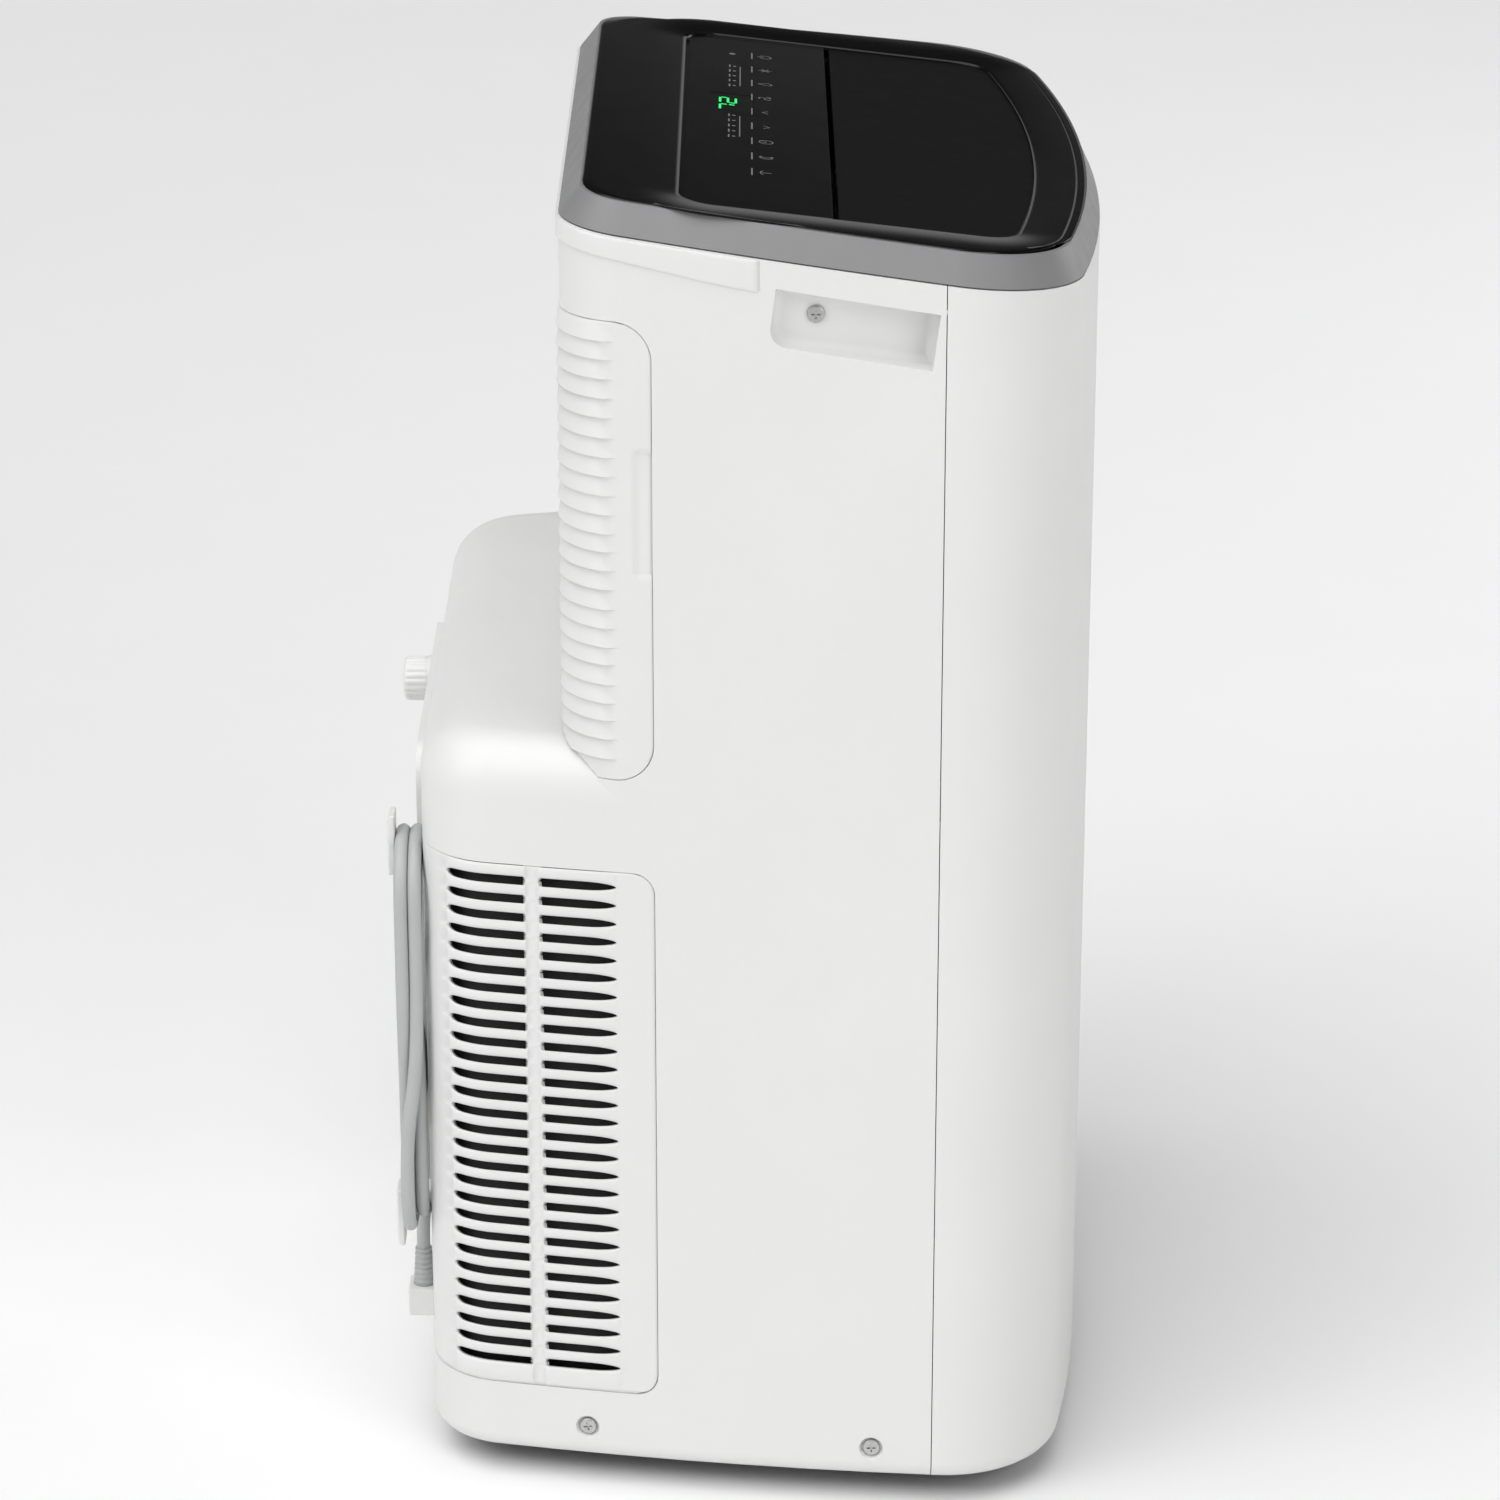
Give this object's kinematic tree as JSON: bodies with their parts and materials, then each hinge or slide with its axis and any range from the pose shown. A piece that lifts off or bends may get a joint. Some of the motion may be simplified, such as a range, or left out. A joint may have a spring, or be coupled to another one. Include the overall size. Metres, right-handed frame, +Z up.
{
  "type": "portable air conditioner",
  "caption": "Free-standing room air conditioner on casters: sloping black top with a hinged outlet flap, rear hump with exhaust outlet, side grilles, cord wound on rear hooks.",
  "frame": {"origin": "on the floor, under the middle of the body", "axes": "+Z up, the front faces -Y, +X is the viewer's right when facing the front"},
  "size_m": [0.4808, 0.3873, 0.7225],
  "materials": {
    "white_casing": "fine moulded satin",
    "white_trim": "moulded satin",
    "grey_ring": "painted satin grey",
    "black_deck": "satin black",
    "black_flap": "matte black",
    "display": "dark smoked lens",
    "black_inner": "dark moulded plastic",
    "filter_mesh": "fine woven net",
    "soft_rubber": "soft rubber",
    "caster_black": "black nylon",
    "screw_steel": "plated steel",
    "cord_grey": "light grey jacket",
    "blower_plastic": "moulded plastic",
    "motor_steel": "drawn steel can",
    "compressor_paint": "black enamel",
    "coil_aluminium": "bare fins",
    "copper_pipe": "copper tube"
  },
  "bodies": {
    "root": {"base_pan": "black_inner", "casing_screws": "screw_steel", "compressor": "compressor_paint", "compressor_feet": "soft_rubber", "condenser_coil_left": "coil_aluminium", "condenser_coil_right": "coil_aluminium", "control_box": "black_inner", "control_panel": "black_deck", "cord_gland": "white_trim", "cord_hank": "cord_grey", "cord_hook_lower": "white_trim", "cord_hook_upper": "white_trim", "cord_lead": "cord_grey", "discharge_pipe": "copper_pipe", "display_window": "display", "drain_gasket": "soft_rubber", "drain_spout": "black_inner", "drip_tray": "black_inner", "evaporator_coil": "coil_aluminium", "exhaust_flange": "white_casing", "exhaust_guard": "black_inner", "front_shell": "white_casing", "grip_screws": "screw_steel", "lower_fan_motor": "motor_steel", "lower_scroll": "black_inner", "outlet_duct": "black_inner", "plug": "cord_grey", "rear_shell": "white_casing", "run_capacitor": "motor_steel", "side_grille_left": "white_casing", "side_grille_right": "white_casing", "strain_relief": "cord_grey", "suction_pipe": "copper_pipe", "top_deck": "black_deck", "top_ring": "grey_ring", "upper_fan_motor": "motor_steel", "upper_scroll": "black_inner"},
    "flap": {"flap": "black_flap"},
    "filter_drawer": {"filter_cover": "white_casing", "air_filter": "filter_mesh"},
    "drain_cap": {"drain_cap": "white_trim"},
    "lower_plug": {"lower_drain_plug": "white_trim"},
    "lower_blower": {"lower_blower": "blower_plastic"},
    "upper_blower": {"upper_blower": "blower_plastic"},
    "vane_link": {"vane_link_bar": "black_inner"},
    "vane_1": {"guide_vane_1": "black_inner"},
    "vane_2": {"guide_vane_2": "black_inner"},
    "vane_3": {"guide_vane_3": "black_inner"},
    "vane_4": {"guide_vane_4": "black_inner"},
    "vane_5": {"guide_vane_5": "black_inner"},
    "fork_rear_left": {"caster_fork_rear_left": "caster_black"},
    "wheel_rear_left": {"caster_wheel_rear_left": "caster_black"},
    "fork_rear_right": {"caster_fork_rear_right": "caster_black"},
    "wheel_rear_right": {"caster_wheel_rear_right": "caster_black"},
    "fork_front_left": {"caster_fork_front_left": "caster_black"},
    "wheel_front_left": {"caster_wheel_front_left": "caster_black"},
    "fork_front_right": {"caster_fork_front_right": "caster_black"},
    "wheel_front_right": {"caster_wheel_front_right": "caster_black"}
  },
  "joints": [
    {"name": "flap_hinge", "type": "hinge", "parent": "root", "child": "flap", "pos_m": [0, -0.05329, 0.69869], "axis": [-1, 0, 0], "range_deg": [0, 70]},
    {"name": "vane_1_turn", "type": "hinge", "parent": "root", "child": "vane_1", "pos_m": [-0.14, -0.09001, 0.68731], "axis": [0, -0.1172, 0.9931], "range_deg": [-25, 25]},
    {"name": "vane_2_turn", "type": "hinge", "parent": "root", "child": "vane_2", "pos_m": [-0.07, -0.09001, 0.68731], "axis": [0, -0.1172, 0.9931], "range_deg": [-25, 25]},
    {"name": "vane_3_turn", "type": "hinge", "parent": "root", "child": "vane_3", "pos_m": [0, -0.09001, 0.68731], "axis": [0, -0.1172, 0.9931], "range_deg": [-25, 25]},
    {"name": "vane_4_turn", "type": "hinge", "parent": "root", "child": "vane_4", "pos_m": [0.07, -0.09001, 0.68731], "axis": [0, -0.1172, 0.9931], "range_deg": [-25, 25]},
    {"name": "vane_5_turn", "type": "hinge", "parent": "root", "child": "vane_5", "pos_m": [0.14, -0.09001, 0.68731], "axis": [0, -0.1172, 0.9931], "range_deg": [-25, 25]},
    {"name": "vane_link_slide", "type": "slide", "parent": "root", "child": "vane_link", "axis": [1, 0, 0], "range_m": [-0.00437, 0.00437]},
    {"name": "upper_blower_spin", "type": "hinge", "parent": "root", "child": "upper_blower", "pos_m": [0, -0.1, 0.52], "axis": [0, 1, 0], "continuous": true},
    {"name": "lower_blower_spin", "type": "hinge", "parent": "root", "child": "lower_blower", "pos_m": [0, 0.03, 0.235], "axis": [1, 0, 0], "continuous": true},
    {"name": "filter_drawer_pull", "type": "slide", "parent": "root", "child": "filter_drawer", "axis": [0, 1, 0], "range_m": [0, 0.05]},
    {"name": "drain_cap_turn", "type": "hinge", "parent": "root", "child": "drain_cap", "pos_m": [0.095, 0.185, 0.3566], "axis": [0, 1, 0], "continuous": true},
    {"name": "lower_plug_pull", "type": "slide", "parent": "root", "child": "lower_plug", "axis": [0, 1, 0], "range_m": [0, 0.02]},
    {"name": "caster_swivel_rear_left", "type": "hinge", "parent": "root", "child": "fork_rear_left", "pos_m": [-0.172, 0.09, 0.045], "axis": [0, 0, 1], "continuous": true},
    {"name": "caster_roll_rear_left", "type": "hinge", "parent": "fork_rear_left", "child": "wheel_rear_left", "pos_m": [-0.172, 0.099, 0.017], "axis": [1, 0, 0], "continuous": true},
    {"name": "caster_swivel_rear_right", "type": "hinge", "parent": "root", "child": "fork_rear_right", "pos_m": [0.172, 0.09, 0.045], "axis": [0, 0, 1], "continuous": true},
    {"name": "caster_roll_rear_right", "type": "hinge", "parent": "fork_rear_right", "child": "wheel_rear_right", "pos_m": [0.172, 0.099, 0.017], "axis": [1, 0, 0], "continuous": true},
    {"name": "caster_swivel_front_left", "type": "hinge", "parent": "root", "child": "fork_front_left", "pos_m": [-0.187, -0.131, 0.045], "axis": [0, 0, 1], "continuous": true},
    {"name": "caster_roll_front_left", "type": "hinge", "parent": "fork_front_left", "child": "wheel_front_left", "pos_m": [-0.187, -0.122, 0.017], "axis": [1, 0, 0], "continuous": true},
    {"name": "caster_swivel_front_right", "type": "hinge", "parent": "root", "child": "fork_front_right", "pos_m": [0.187, -0.131, 0.045], "axis": [0, 0, 1], "continuous": true},
    {"name": "caster_roll_front_right", "type": "hinge", "parent": "fork_front_right", "child": "wheel_front_right", "pos_m": [0.187, -0.122, 0.017], "axis": [1, 0, 0], "continuous": true}
  ],
  "couplings": [
    {"joint": "vane_2_turn", "follows": "vane_1_turn", "ratio": 1},
    {"joint": "vane_3_turn", "follows": "vane_1_turn", "ratio": 1},
    {"joint": "vane_4_turn", "follows": "vane_1_turn", "ratio": 1},
    {"joint": "vane_5_turn", "follows": "vane_1_turn", "ratio": 1},
    {"joint": "vane_link_slide", "follows": "vane_1_turn", "m_per_rad": 0.01}
  ]
}
